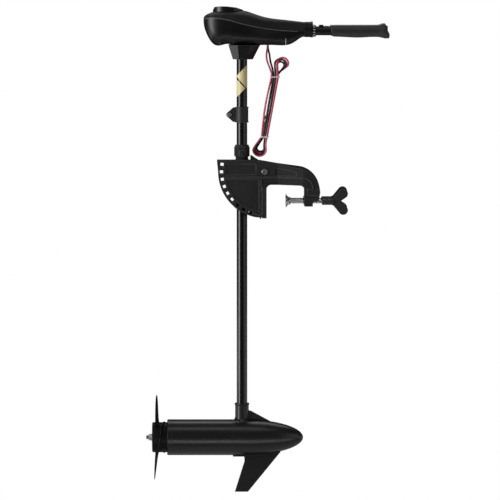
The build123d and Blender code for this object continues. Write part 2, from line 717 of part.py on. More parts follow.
# ---------------------------------------------------------------- power leads
LEAD_ROUTES = {
    "red": [
        (3, -2.8, 420), (3, -2.8, 403), (-1, -3.4, 386), (1, -4, 368), (8, -4.2, 351), (13.5, -4, 336),
        (13.5, -4, 331.5),
    ],
    "black": [
        (3, 2.8, 420), (3, 2.8, 403), (8, 3.4, 386), (9.5, 4, 368), (15, 4.2, 351), (18.3, 4, 336),
        (18.3, 4, 331.5),
    ],
}


def bend_radii(points):
    """Arc radii as large as each corner's two straight runs allow."""
    radii = []
    for before, corner, after in zip(points, points[1:], points[2:]):
        come, go = Vector(corner) - Vector(before), Vector(after) - Vector(corner)
        turn = radians(come.get_angle(go))
        radii.append(0.45 * min(come.length, go.length) / tan(turn / 2))
    return radii


for colour, route in LEAD_ROUTES.items():
    radii = bend_radii(route)
    with BuildPart() as lead:
        with BuildLine():
            path = FilletPolyline(*route, radius=radii)
        with BuildSketch(Plane(origin=path @ 0, z_dir=path % 0)):
            Circle(LEAD_R)
        sweep()
    finish(lead, f"lead_{colour}")
    ratio = lead.part.volume / (pi * LEAD_R**2 * path.length)
    print(f"lead_{colour}: radii", [round(r) for r in radii], f"volume / (section x length) {ratio:.4f}")

HANK_TOP, HANK_LOW = (22, 326.5), (-5.5, 168.5)
with BuildPart() as lead_hank:
    with BuildSketch(SIDE):
        for loop, radius, waist, width in (
            ((42, 362), 18, (27, 331), 12),
            ((-16.5, 138), 18.5, (-5.5, 165), 18),
        ):
            with BuildSketch(SIDE, mode=Mode.PRIVATE) as end_loop:
                with Locations(loop):
                    Circle(radius)
                with Locations(waist):
                    Rectangle(width, 1)
                make_hull()
            add(end_loop.sketch)
        with BuildLine():
            Polyline(
                (11, 322), (11, 331.5), (33, 331.5), (33, 322), (30, 290), (3.5, 172),
                (3.5, 164.5), (-14.5, 164.5), (-14.5, 172), (-8, 230), close=True,
            )
        make_face()
    extrude(amount=HANK_HALF, both=True)
finish(lead_hank, "lead_hank")

with BuildPart() as cable_ties:
    for (x, z), width in ((HANK_TOP, 22), (HANK_LOW, 18)):
        with BuildSketch(across(z - 1.5, x)):
            RectangleRounded(width + 4.4, 2 * HANK_HALF + 3, 3)
            RectangleRounded(width + 2, 2 * HANK_HALF + 0.4, 1, mode=Mode.SUBTRACT)
        extrude(amount=3)
finish(cable_ties, "cable_ties")

with BuildPart() as ring_terminals:
    for x in (-8, 3):
        with BuildSketch(Plane.XZ.offset(-HANK_HALF - 0.2)):
            with Locations((x, 190)):
                Circle(4)
                Circle(2, mode=Mode.SUBTRACT)
            with Locations((x, 198)):
                Rectangle(4, 12)
        extrude(amount=-1.4)
finish(ring_terminals, "ring_terminals")

# ---------------------------------------------------------------- motor
with BuildPart() as motor_tube:
    tube(facing_x(MOTOR_TUBE[0], 0, MOTOR_Z), MOTOR_R, MOTOR_R - MOTOR_WALL,
         MOTOR_TUBE[1] - MOTOR_TUBE[0])
finish(motor_tube, "motor_tube")


def nose_form(grow=0.0, start=MOTOR_TUBE[1], mode=Mode.ADD):
    """The nose as a solid of revolution, straight and then a quarter ellipse."""
    radius = MOTOR_R + grow
    tip = NOSE_CENTRE_X + NOSE_LENGTH + grow
    with BuildSketch(MOTOR_SIDE) as outline:
        with BuildLine():
            Polyline((tip, 0), (start, 0), (start, radius), (NOSE_CENTRE_X, radius))
            EllipticalCenterArc((NOSE_CENTRE_X, 0), tip - NOSE_CENTRE_X, radius, 0, arc_size=90)
        make_face()
    revolve(outline.sketch, axis=MOTOR_AXIS, mode=mode)


SOCKET_TOP, SOCKET_R = -538, 18
with BuildPart() as nose_casting:
    nose_form()
    turned(MOTOR_SIDE, MOTOR_AXIS, (-98, 0), (-98, MOTOR_R - MOTOR_WALL - 0.02),
           (-90, MOTOR_R - MOTOR_WALL - 0.02), (-90, 0))
    # Shaft socket with a lip, a flared foot and a gusset in front of it.
    turned(Plane(origin=(SHAFT_X, 0, 0), x_dir=(1, 0, 0), z_dir=(0, -1, 0)), SHAFT_AXIS,
           (0, -600), (24, -600), (24, -585), (19.5, -579), (SOCKET_R, -575), (SOCKET_R, -544),
           (SOCKET_R + 1.2, -542), (SOCKET_R + 1.2, SOCKET_TOP), (0, SOCKET_TOP))
    side_plate([(-50, -557), (-41, -559), (9, -586), (-20, -600), (-50, -600)], 3.5)
    nose_form(-4.5, -82, Mode.SUBTRACT)
    turned(MOTOR_SIDE, MOTOR_AXIS, (-99, 20), (-99, 36), (-91, 36), (-91, 20), mode=Mode.SUBTRACT)
    turned(MOTOR_SIDE, MOTOR_AXIS, (-99, 0), (-99, 13), (-86, 13), (-86, 0), mode=Mode.SUBTRACT)
    round_bar(across(SHAFT_BOTTOM, SHAFT_X), SHAFT_R + 0.02, 60, Mode.SUBTRACT)
    round_bar(across(-600, SHAFT_X), 9, 30, Mode.SUBTRACT)
    for z in (MOTOR_Z + BOLT_RING, MOTOR_Z - BOLT_RING):
        round_bar(facing_x(-99, 0, z), 2.02, 8, Mode.SUBTRACT)
finish(nose_casting, "nose_casting")

with BuildPart() as skeg:
    nose_form(4)
    with BuildSketch(across(-700, -26)):
        SlotOverall(126, 30)
    extrude(amount=50, mode=Mode.INTERSECT)
    with BuildSketch(SIDE):
        with BuildLine():
            Polyline((-62, -660), (-58, -692), (-84, -775), (-49, -775), (37, -669), (20, -650),
                     close=True)
        make_face()
    extrude(amount=3.5, both=True)
    chamfer(edges().filter_by(lambda e: e.center().Z < -700 and abs(e.center().Y) > 3), 2)
    nose_form(0.05, -120, Mode.SUBTRACT)
finish(skeg, "skeg")

with BuildPart() as rear_end_cap:
    turned(MOTOR_SIDE, MOTOR_AXIS,
           (-258, 9), (-258, 11), (-263, 11), (-263, 46), (-261.5, MOTOR_R), (-248.6, MOTOR_R),
           (-248, MOTOR_R - 0.6), (-248, 44.45), (-240, 44.45), (-240, 42), (-254, 42), (-254, 20),
           (-246, 20), (-246, 13), (-256, 13), (-256, 9))
    with BuildSketch(facing_x(-264, 0, MOTOR_Z)):
        with Locations((0, BOLT_RING), (0, -BOLT_RING)):
            Circle(2.05)
    extrude(amount=12, mode=Mode.SUBTRACT)
    with BuildSketch(facing_x(-264, 0, MOTOR_Z)):
        with Locations((0, BOLT_RING), (0, -BOLT_RING)):
            Circle(4.1)
    extrude(amount=2.6, mode=Mode.SUBTRACT)
finish(rear_end_cap, "rear_end_cap")

with BuildPart() as motor_bolts:
    for z in (MOTOR_Z + BOLT_RING, MOTOR_Z - BOLT_RING):
        round_bar(facing_x(-262.4, 0, z), 2, 170)
        round_bar(facing_x(-262.9, 0, z), 4, 1.45)
finish(motor_bolts, "motor_bolts")

with BuildPart() as motor_magnets:
    tube(facing_x(-222, 0, MOTOR_Z), MOTOR_R - MOTOR_WALL - 0.02, 36, 92)
    with Locations((-176, 0, MOTOR_Z)):
        Box(120, 50, 120, mode=Mode.SUBTRACT)
finish(motor_magnets, "motor_magnets")

with BuildPart() as brush_holder:
    tube(facing_x(-106, 0, MOTOR_Z), 36, 14, 8)
    for y in (-22, 22):
        with Locations((-111, y, MOTOR_Z)):
            Box(10, 14, 12)
        with Locations((-111.5, y, MOTOR_Z)):
            Box(11, 15, 8.2, mode=Mode.SUBTRACT)
finish(brush_holder, "brush_holder")

with BuildPart() as motor_brushes:
    for y in (-1, 1):
        with Locations((-111, y * 20.5, MOTOR_Z)):
            Box(8, 16, 8)
finish(motor_brushes, "motor_brushes")

with BuildPart() as motor_bearings:
    for x in (-256, -94):
        for outer, inner in ((13, 10.5), (7.5, AXLE_R)):
            tube(facing_x(x, 0, MOTOR_Z), outer, inner, 8)
        with BuildSketch(facing_x(x + 4, 0, MOTOR_Z)):
            with PolarLocations(9, 8):
                Circle(1.5)
        extrude(amount=1.5, both=True)
finish(motor_bearings, "motor_bearings")

with BuildPart() as shaft_seal:
    tube(facing_x(-263, 0, MOTOR_Z), 11, AXLE_R + RUNNING, 5)
finish(shaft_seal, "shaft_seal")

# ---------------------------------------------------------------- rotor
PIN_X = -284
with BuildPart() as armature_shaft:
    round_bar(facing_x(-319, 0, MOTOR_Z), AXLE_R, 232)
    chamfer(faces().sort_by(Axis.X)[0].edges(), 1)
    round_bar(across(MOTOR_Z - 20, PIN_X), 2, 40, Mode.SUBTRACT)
finish(armature_shaft, "armature_shaft")

with BuildPart() as armature_core:
    tube(facing_x(-214, 0, MOTOR_Z), 34.5, AXLE_R, 78)
    with BuildSketch(facing_x(-214, 0, MOTOR_Z)):
        with PolarLocations(30, 12):
            SlotOverall(15, 6)
    extrude(amount=78, mode=Mode.SUBTRACT)
finish(armature_core, "armature_core")

with BuildPart() as armature_windings:
    tube(facing_x(-232, 0, MOTOR_Z), 32, 12, 17.8)
    tube(facing_x(-135.8, 0, MOTOR_Z), 32, 12, 15)
    tube(facing_x(-118, 0, MOTOR_Z), 12, AXLE_R, 14)
    for faces_at in (-232, -120.8):
        fillet(edges().filter_by(GeomType.CIRCLE).filter_by(
            lambda e: abs(e.center().X - faces_at) < 0.1 and abs(e.radius - 32) < 0.1), 5)
finish(armature_windings, "armature_windings")

BLADE_STATIONS = [  # radius, chord, thickness, pitch angle, rake along X
    (36, 62, 5.5, 27, -286),
    (60, 60, 4.2, 20, -289),
    (85, 50, 3.2, 16, -292),
    (103, 34, 2.4, 14, -294),
    (PROP_R, 16, 1.6, 13, -294.5),
]

with BuildPart() as propeller:
    turned(MOTOR_SIDE, MOTOR_AXIS,
           (-303, AXLE_R + 0.02), (-303, HUB_R - 1.5), (-301.5, HUB_R), (-263.6, HUB_R),
           (-263.6, HUB_R - 4), (-298, HUB_R - 4), (-298, 12), (-270, 12), (-270, AXLE_R + 0.02))
    for turn in (90, 270):
        for radius, chord, thick, pitch, rake in BLADE_STATIONS:
            out = Vector(0, cos(radians(turn)), sin(radians(turn)))
            along = Vector(0, -sin(radians(turn)), cos(radians(turn)))
            lie = along * cos(radians(pitch)) + Vector(1, 0, 0) * sin(radians(pitch))
            place = Plane(origin=Vector(rake, 0, MOTOR_Z) + out * radius, x_dir=lie, z_dir=out)
            with BuildSketch(place):
                with BuildLine():
                    ThreePointArc((-chord / 2, 0), (0, thick / 2), (chord / 2, 0))
                    ThreePointArc((chord / 2, 0), (0, -thick / 2), (-chord / 2, 0))
                make_face()
        loft()
    turned(MOTOR_SIDE, MOTOR_AXIS, (-297.9, 12.5), (-297.9, HUB_R - 4.1), (-250, HUB_R - 4.1),
           (-250, 12.5), mode=Mode.SUBTRACT)
    round_bar(across(MOTOR_Z - 13, PIN_X), 2.05, 26, Mode.SUBTRACT)
finish(propeller, "propeller")

with BuildPart() as drive_pin:
    round_bar(across(MOTOR_Z - 12, PIN_X), 2, 24)
finish(drive_pin, "drive_pin")

with BuildPart() as prop_nut:
    tube(facing_x(-304.6, 0, MOTOR_Z), 11, AXLE_R, 1.6)
    with BuildSketch(facing_x(-312.6, 0, MOTOR_Z)):
        RegularPolygon(9.2, 6)
        Circle(AXLE_R, mode=Mode.SUBTRACT)
    extrude(amount=8)
finish(prop_nut, "prop_nut")
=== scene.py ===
from math import cos, pi, radians, sin

import bmesh
import bpy
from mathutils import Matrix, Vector
from mathutils.bvhtree import BVHTree


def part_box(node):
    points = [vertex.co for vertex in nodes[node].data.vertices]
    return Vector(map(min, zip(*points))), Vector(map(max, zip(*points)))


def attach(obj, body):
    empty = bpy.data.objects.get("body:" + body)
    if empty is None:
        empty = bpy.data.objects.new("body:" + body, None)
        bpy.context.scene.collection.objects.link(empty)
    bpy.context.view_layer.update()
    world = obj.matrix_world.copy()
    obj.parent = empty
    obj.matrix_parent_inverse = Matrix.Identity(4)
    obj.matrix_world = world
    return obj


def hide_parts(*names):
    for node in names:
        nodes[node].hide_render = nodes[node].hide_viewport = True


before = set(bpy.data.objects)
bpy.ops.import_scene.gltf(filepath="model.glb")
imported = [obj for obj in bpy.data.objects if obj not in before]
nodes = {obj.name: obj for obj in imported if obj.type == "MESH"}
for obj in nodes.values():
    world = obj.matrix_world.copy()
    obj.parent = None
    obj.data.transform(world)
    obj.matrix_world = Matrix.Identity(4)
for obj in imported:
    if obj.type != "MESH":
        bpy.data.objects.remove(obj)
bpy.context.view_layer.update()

MM = 0.001
scene = bpy.context.scene


def mm(x, y, z):
    """A point given in millimetres, as a vector in metres."""
    return Vector((x * MM, y * MM, z * MM))


def centre(node):
    """Middle of a CAD node's box, in metres."""
    low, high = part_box(node)
    return (Vector(low) + Vector(high)) / 2


# ---------------------------------------------------------------- camera
# The object is seen square on from its near side, from a little above, with a long lens.
AIM = Vector((-0.0437, 0, -0.1312))
VIEW_WIDTH = 1.322  # width of the view at the object, in metres
DISTANCE = 12.0
ELEVATION = radians(4.6)
SENSOR = 36.0


def add_camera():
    data = bpy.data.cameras.new("camera")
    data.sensor_width = SENSOR
    data.lens = SENSOR * DISTANCE / VIEW_WIDTH
    data.clip_end = 5 * DISTANCE
    camera = bpy.data.objects.new("camera", data)
    scene.collection.objects.link(camera)
    camera.location = AIM + Vector((0, -DISTANCE * cos(ELEVATION), DISTANCE * sin(ELEVATION)))
    camera.rotation_euler = (pi / 2 - ELEVATION, 0, 0)
    scene.camera = camera


add_camera()


# ---------------------------------------------------------------- materials
BLOTCH_SCALE, GLOSS_SCALE = 38.0, 120.0  # of the noise in the colour and in the gloss
GLOSS_SPREAD = 0.14  # how far the roughness strays, as a share of itself
GRAIN_DEPTH = 0.00008  # metres
COAT_ROUGH = 0.12
WEAR_HIGHLIGHT_START, WEAR_HIGHLIGHT_FULL = 0.995, 0.8  # cosine between true and rounded normal where edge wearing and painted edge highlight show
WEAR_HIGHLIGHT_GAIN, WEAR_HIGHLIGHT_LIFT = 2.5, 0.12  # how much paler edges are painted than the rest, partly as wearing and partly as painted highlight


def new_material(name):
    material = bpy.data.materials.new(name)
    material.use_nodes = True
    tree = material.node_tree
    return material, tree, tree.nodes["Principled BSDF"]


def node(tree, kind, **inputs):
    """A shader node, with its inputs set by name; underscores stand for spaces."""
    made = tree.nodes.new(kind)
    for key, value in inputs.items():
        made.inputs[key.replace("_", " ")].default_value = value
    return made


def mixed(tree, first, second, factor=None):
    """A colour mix node between two colours, either of which may be left for a link."""
    mix = tree.nodes.new("ShaderNodeMix")
    mix.data_type = "RGBA"
    for socket, colour in (("A", first), ("B", second)):
        if colour is not None:
            mix.inputs[socket].default_value = [min(1, c) for c in colour] + [1]
    if factor is not None:
        tree.links.new(factor, mix.inputs["Factor"])
    return mix


def surface(name, colour, rough, metal=0.0, mottle=0.25, grain=0.25, grain_size=0.5, wear_and_highlight=0.12,
            coat=0.0, sheen=0.0, edge=0.35, stretch=(1, 1, 1), specular=0.5):
    """A moulded, painted or machined surface: mottled, unevenly glossy, finely grained, with paler
    edges that are partly wearing and partly painted highlight.

    grain_size and edge are in millimetres; stretch draws the grain out along an axis.
    """
    material, tree, shader = new_material(name)
    link = tree.links.new
    place = tree.nodes.new("ShaderNodeTexCoord")
    spread = node(tree, "ShaderNodeMapping", Scale=stretch)
    link(place.outputs["Object"], spread.inputs["Vector"])

    blotch = node(tree, "ShaderNodeTexNoise", Scale=BLOTCH_SCALE, Detail=5.0, Roughness=0.6)
    link(spread.outputs["Vector"], blotch.inputs["Vector"])
    tint = mixed(tree, [c * (1 - mottle) for c in colour], [c * (1 + mottle) for c in colour],
                 blotch.outputs["Fac"])

    # Edges are painted paler, partly as wearing and partly as painted highlight: the rounded
    # normal differs from the true one there.
    rounded = node(tree, "ShaderNodeBevel", Radius=edge * MM)
    rounded.samples = 4
    flat = tree.nodes.new("ShaderNodeNewGeometry")
    angle = tree.nodes.new("ShaderNodeVectorMath")
    angle.operation = "DOT_PRODUCT"
    link(flat.outputs["Normal"], angle.inputs[0])
    link(rounded.outputs["Normal"], angle.inputs[1])
    edge_wear_highlight = node(tree, "ShaderNodeMapRange", From_Min=WEAR_HIGHLIGHT_START, From_Max=WEAR_HIGHLIGHT_FULL,
                  To_Min=0.0, To_Max=wear_and_highlight)
    link(angle.outputs["Value"], edge_wear_highlight.inputs["Value"])
    worn_and_highlit = mixed(tree, None, [c * WEAR_HIGHLIGHT_GAIN + WEAR_HIGHLIGHT_LIFT for c in colour], edge_wear_highlight.outputs["Result"])
    link(tint.outputs["Result"], worn_and_highlit.inputs["A"])
    link(worn_and_highlit.outputs["Result"], shader.inputs["Base Color"])

    gloss = node(tree, "ShaderNodeTexNoise", Scale=GLOSS_SCALE, Detail=3.0)
    link(spread.outputs["Vector"], gloss.inputs["Vector"])
    strayed = node(tree, "ShaderNodeMapRange", To_Min=rough * (1 - GLOSS_SPREAD),
                   To_Max=min(1.0, rough * (1 + GLOSS_SPREAD)))
    link(gloss.outputs["Fac"], strayed.inputs["Value"])
    link(strayed.outputs["Result"], shader.inputs["Roughness"])

    fine = node(tree, "ShaderNodeTexNoise", Scale=1000.0 / grain_size, Detail=2.0)
    link(spread.outputs["Vector"], fine.inputs["Vector"])
    bump = node(tree, "ShaderNodeBump", Strength=grain, Distance=GRAIN_DEPTH)
    link(fine.outputs["Fac"], bump.inputs["Height"])
    link(rounded.outputs["Normal"], bump.inputs["Normal"])
    link(bump.outputs["Normal"], shader.inputs["Normal"])

    for socket, value in (("Metallic", metal), ("Specular IOR Level", specular),
                          ("Coat Weight", coat), ("Coat Roughness", COAT_ROUGH),
                          ("Sheen Weight", sheen)):
        shader.inputs[socket].default_value = value
    return material


SURFACES = {  # colour, roughness, and whatever else differs from the usual
    # Mouldings
    # Bracket: its strong, broad pale edges are painted highlights along the ribs and the ladder on
    # top.
    "bracket": ((0.032, 0.032, 0.0325), 0.7,
                dict(grain=0.2, grain_size=0.9, wear_and_highlight=1.0, edge=1.8, specular=0.05)),
    "knob": ((0.024, 0.024, 0.025), 0.5, dict(grain=0.35, grain_size=0.7, edge=1.0, wear_and_highlight=0.3)),
    # Lower cover: its pale rounded edges are a painted highlight along the ledge at the parting.
    "cover": ((0.004, 0.004, 0.0043), 0.36,
              dict(grain=0.03, grain_size=0.8, wear_and_highlight=0.8, edge=1.4, specular=0.5)),
    # Upper cover: a rougher finish, and a colour painted paler than the lower cover's to stand in
    # for the light from above.
    "cover_top_painted_lighter": ((0.02, 0.02, 0.0205), 0.55,
                  dict(grain=0.05, grain_size=0.8, wear_and_highlight=0.6, edge=1.4, specular=0.25)),
    # A pale grey strip along the head's parting, a painted highlight on its crease.
    "highlight_bead": ((0.15, 0.15, 0.152), 0.4, dict(wear_and_highlight=0.0, grain=0.05, edge=0.2)),
    # Neck: its strong pale edges are painted highlights on the facet edges.
    "neck": ((0.003, 0.003, 0.0032), 0.24,
             dict(grain=0.02, wear_and_highlight=1.0, coat=0.1, edge=1.6, specular=0.4)),
    "gauge": ((0.008, 0.008, 0.0085), 0.25, dict(grain=0.1, edge=0.8)),
    "ferrule": ((0.003, 0.003, 0.0032), 0.4, dict(grain=0.3, specular=0.35, wear_and_highlight=0.3, edge=0.6)),
    "tiller": ((0.006, 0.006, 0.0065), 0.36, dict(grain=0.2, specular=0.4)),
    "grip": ((0.032, 0.032, 0.033), 0.42,
             dict(grain=0.5, grain_size=1.1, sheen=0.12, edge=0.8)),
    "shaft": ((0.004, 0.004, 0.0044), 0.24,
              dict(grain=0.03, grain_size=0.6, stretch=(1, 1, 0.12), wear_and_highlight=0.1, coat=0.2)),
    "propeller": ((0.003, 0.003, 0.0031), 0.45,
                  dict(grain=0.12, wear_and_highlight=0.5, edge=0.9, specular=0.15)),
    "bush": ((0.03, 0.03, 0.03), 0.45, dict(grain=0.1)),
    "rubber": ((0.02, 0.02, 0.02), 0.7, dict(grain=0.3)),
    "smoked": ((0.012, 0.013, 0.015), 0.08, dict(grain=0.0, wear_and_highlight=0.0, edge=0.3)),
    "lamp": ((0.32, 0.05, 0.03), 0.2, dict(wear_and_highlight=0.0, coat=0.5, edge=0.2)),
    # Painted metal
    "motor": ((0.007, 0.007, 0.0072), 0.3, dict(grain=0.1, grain_size=1.6, wear_and_highlight=0.5, edge=0.5)),
    "casting": ((0.007, 0.007, 0.0072), 0.32,
                dict(grain=0.12, grain_size=1.8, wear_and_highlight=0.35, edge=0.6)),
    "skeg": ((0.007, 0.007, 0.0073), 0.55,
             dict(grain=0.05, grain_size=1.8, wear_and_highlight=0.35, edge=0.6, specular=0.2)),
    # Bare metal and the motor's insides
    "dark_plate": ((0.09, 0.09, 0.092), 0.4, dict(metal=1.0, mottle=0.2, grain=0.2, wear_and_highlight=0.2)),
    "steel": ((0.72, 0.72, 0.73), 0.3,
              dict(metal=1.0, mottle=0.06, grain=0.3, stretch=(0.1, 1, 1), wear_and_highlight=0.0)),
    "plated": ((0.6, 0.6, 0.61), 0.32, dict(metal=1.0, mottle=0.1, grain=0.2, wear_and_highlight=0.0)),
    "axle": ((0.16, 0.16, 0.165), 0.35, dict(metal=1.0, mottle=0.15, wear_and_highlight=0.0)),
    "tin": ((0.68, 0.67, 0.64), 0.3, dict(metal=1.0, mottle=0.1, wear_and_highlight=0.0)),
    "copper": ((0.62, 0.26, 0.1), 0.3,
               dict(metal=1.0, mottle=0.15, grain=1.0, grain_size=1.0, wear_and_highlight=0.0)),
    "laminations": ((0.3, 0.3, 0.31), 0.42,
                    dict(metal=1.0, grain=0.9, grain_size=0.8, stretch=(6, 0.2, 0.2), wear_and_highlight=0.0)),
    "ferrite": ((0.06, 0.06, 0.065), 0.6, dict(grain=0.4)),
    "carbon": ((0.03, 0.03, 0.03), 0.5, dict(grain=0.5)),
    # Leads, ties and print
    "red_lead": ((0.85, 0.1, 0.2), 0.3,
                 dict(grain=0.12, mottle=0.12, wear_and_highlight=0.0, coat=0.25, edge=0.1)),
    "black_lead": ((0.014, 0.014, 0.015), 0.32, dict(grain=0.12, wear_and_highlight=0.0, coat=0.25, edge=0.1)),
    "nylon": ((0.85, 0.85, 0.82), 0.4, dict(mottle=0.04, grain=0.1, wear_and_highlight=0.0, edge=0.1)),
    "white_print": ((0.93, 0.93, 0.91), 0.45, dict(mottle=0.05, wear_and_highlight=0.0, edge=0.1)),
}
MATERIALS = {name: surface(name, colour, rough, **rest)
             for name, (colour, rough, rest) in SURFACES.items()}


def label_material():
    """Gold film with fine slanting lines and no lettering."""
    material = surface("gold_film", (0.95, 0.81, 0.4), 0.4, mottle=0.06, grain=0.25, wear_and_highlight=0.0,
                       edge=0.1)
    tree = material.node_tree
    shader = tree.nodes["Principled BSDF"]
    plain = shader.inputs["Base Color"].links[0].from_socket
    place = tree.nodes.new("ShaderNodeTexCoord")
    lines = node(tree, "ShaderNodeTexWave", Scale=150.0, Distortion=1.5, Detail=1.0)
    lines.bands_direction = "DIAGONAL"
    tree.links.new(place.outputs["Object"], lines.inputs["Vector"])
    faint = node(tree, "ShaderNodeMapRange", From_Min=0.6, From_Max=1.0, To_Max=0.4)
    tree.links.new(lines.outputs["Fac"], faint.inputs["Value"])
    both = mixed(tree, None, (0.95, 0.9, 0.66), faint.outputs["Result"])
    tree.links.new(plain, both.inputs["A"])
    tree.links.new(both.outputs["Result"], shader.inputs["Base Color"])
    return material


MATERIALS["label"] = label_material()

NODE_MATERIALS = {
    "bracket": ["bracket_body", "hinge_block", "tilt_release_bar", "steering_collar"],
    "knob": ["clamp_knob_near", "clamp_knob_far", "tension_knob", "collar_knob", "depth_collar"],
    "cover": ["head_lower_cover", "junction_cover"],
    # The upper cover takes the paler material, which paints the light falling on it from above.
    "cover_top_painted_lighter": ["head_upper_cover"],
    "neck": ["neck"],
    "gauge": ["gauge_cap"],
    "smoked": ["gauge_lens"],
    "ferrule": ["tiller_ferrule"],
    "tiller": ["dial_ring", "throttle_tube", "grip_sleeve"],
    "grip": ["tiller_grip"],
    "shaft": ["shaft_tube"],
    "label": ["shaft_label"],
    "motor": ["motor_tube"],
    "casting": ["nose_casting", "rear_end_cap"],
    "skeg": ["skeg"],
    "propeller": ["propeller"],
    "steel": ["clamp_screw_near", "clamp_screw_far", "clamp_pad_near", "clamp_pad_far",
              "pivot_bolt", "pivot_nut", "collar_bolt"],
    "dark_plate": ["lock_pin_near", "lock_pin_far", "steering_screw", "clamp_inserts",
                   "head_screws"],
    "plated": ["release_spring", "motor_bolts", "drive_pin", "motor_bearings", "prop_nut"],
    "axle": ["armature_shaft"],
    "copper": ["armature_windings"],
    "laminations": ["armature_core"],
    "ferrite": ["motor_magnets"],
    "carbon": ["motor_brushes"],
    "bush": ["pivot_bush", "swivel_bush", "speed_switch", "brush_holder"],
    "rubber": ["test_button", "shaft_seal"],
    "red_lead": ["lead_red", "lead_hank"],
    "black_lead": ["lead_black"],
    "nylon": ["cable_ties"],
    "tin": ["ring_terminals"],
}


def dress(name, material):
    """Gives a CAD node its material."""
    mesh = nodes[name].data
    mesh.materials.clear()
    mesh.materials.append(MATERIALS[material])


for material, names in NODE_MATERIALS.items():
    for name in names:
        dress(name, material)


# ---------------------------------------------------------------- making pieces
def add_piece(name, points, faces, body, material, smooth=True, auto=None):
    """A mesh piece that rides on a CAD body. Points are in metres, in the row frame."""
    mesh = bpy.data.meshes.new(name)
    mesh.from_pydata([tuple(p) for p in points], [], faces)
    clean = bmesh.new()
    clean.from_mesh(mesh)
    bmesh.ops.remove_doubles(clean, verts=clean.verts, dist=1e-7)
    bmesh.ops.recalc_face_normals(clean, faces=clean.faces)
    clean.to_mesh(mesh)
    clean.free()
    mesh.materials.append(MATERIALS[material])
    made = bpy.data.objects.new(name, mesh)
    scene.collection.objects.link(made)
    if smooth:
        mesh.shade_smooth()
    if auto is not None:
        mesh.set_sharp_from_angle(angle=radians(auto))
    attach(made, body)
    return made


def loft(rings):
    """Points and faces of a skin over rings of equally many points, with its two ends capped."""
    count = len(rings[0])
    points = [p for ring in rings for p in ring]
    faces = []
    for i in range(len(rings) - 1):
        for j in range(count):
            k = (j + 1) % count
            faces.append((i * count + j, i * count + k, (i + 1) * count + k, (i + 1) * count + j))
    faces.append(tuple(reversed(range(count))))
    faces.append(tuple((len(rings) - 1) * count + j for j in range(count)))
    return points, faces


def merged(parts):
    """Several (points, faces) pairs as one."""
    points, faces = [], []
    for some_points, some_faces in parts:
        start = len(points)
        points += some_points
        faces += [tuple(start + i for i in face) for face in some_faces]
    return points, faces


def disc_ring(middle, axis, radius, count):
    """Points of a circle about an axis."""
    axis = Vector(axis).normalized()
    side = axis.orthogonal().normalized()
    up = axis.cross(side)
    turns = [2 * pi * i / count for i in range(count)]
    return [middle + radius * (cos(t) * side + sin(t) * up) for t in turns]


def turned(middle, axis, profile, count=32):
    """A turned piece: profile is (distance along the axis, radius) pairs in millimetres."""
    axis = Vector(axis).normalized()
    return loft([disc_ring(middle + axis * along * MM, axis, radius * MM, count)
                 for along, radius in profile])


# ---------------------------------------------------------------- power leads
LEAD = 0.005  # outer diameter of one lead
LEAD_ROUTES = {  # millimetres, from inside the boss down to the upper tie
    "red": [
        (3, -2.8, 420), (3, -2.8, 403), (-1, -3.4, 386), (1, -4, 368), (8, -4.2, 351),
        (13.5, -4, 336),
    ],
    "black": [
        (3, 2.8, 420), (3, 2.8, 403), (8, 3.4, 386), (9.5, 4, 368), (15, 4.2, 351),
        (17.8, 2, 336),
    ],
}
TIE_TOP, TIE_LOW = (22, 326.5), (-5.5, 168.5)
# Where each run of a lead lies in the tied bundle, across it and along Y, and how far it bows out.
RUNS = {
    "red": [(-8.6, -3.6, -4), (6.4, -6.3, 1), (-7.4, 1.4, -5.5), (8.2, -1.4, 0), (-3.6, 6.4, 0)],
    "black": [(-4.2, -5.6, 0), (1.2, -6.5, 1), (-2.4, -0.8, -1), (3.4, 1.6, 0), (3.2, 6.4, 0)],
}
# Middle and radius of the bends between runs: below, above, below, above.
BENDS = {
    "red": [(-18.5, 135.2, 17.5), (42, 362, 15.8), (-16.5, 138, 13.3), (40.5, 360, 12.2)],
    "black": [(-19.5, 136, 13.8), (35.5, 360, 14.4), (-16, 140, 10.4), (37, 357, 9.6)],
}
TERMINAL_X = {"red": -8, "black": 3}
TERMINAL_Y, TERMINAL_TOP = 9.4, 205
RUN_STEPS = (0.0, 0.04, 0.28, 0.52, 0.76, 0.96, 1.0)
LAST_RUN_STEPS = (0.0, 0.04, 0.28, 0.5, 0.66)  # it ends part way down, at the terminal
BEND_START, BEND_SWEEP, BEND_POINTS = 188, 216, 9  # the first two in degrees
LEAD_SIDE = {"red": -2.8, "black": 2.8}  # Y where each leaves the boss under the head
TIE_WIDTHS = {TIE_TOP: 22, TIE_LOW: 18}
TIE_HEAD_Y, TIE_HEAD_INSET = 11.4, 4
TIE_HEAD_SLABS = ((2.6, 1.6), (1.5, 3.2))  # half size across and along Y, of the head and its tail


def run_point(run, t):
    """A point of a run, from t 0 at the upper tie to t 1 at the lower one."""
    across, along_y, bow = run
    squeeze = 1.05 - 0.2 * t  # the bundle narrows downward
    x = TIE_TOP[0] + (TIE_LOW[0] - TIE_TOP[0]) * t + across * squeeze + bow * sin(pi * t)
    z = TIE_TOP[1] + (TIE_LOW[1] - TIE_TOP[1]) * t
    return (x, along_y, z)


def bend_points(bend, upper, from_y, to_y):
    """A bend's points: up the left side and over the top, or down the left side and under."""
    x, z, radius = bend
    sign = 1 if upper else -1
    points = []
    for i in range(BEND_POINTS):
        t = i / (BEND_POINTS - 1)
        angle = radians(BEND_START - BEND_SWEEP * t)
        points.append((x + radius * cos(angle), from_y + (to_y - from_y) * t,
                       z + sign * radius * sin(angle)))
    return points


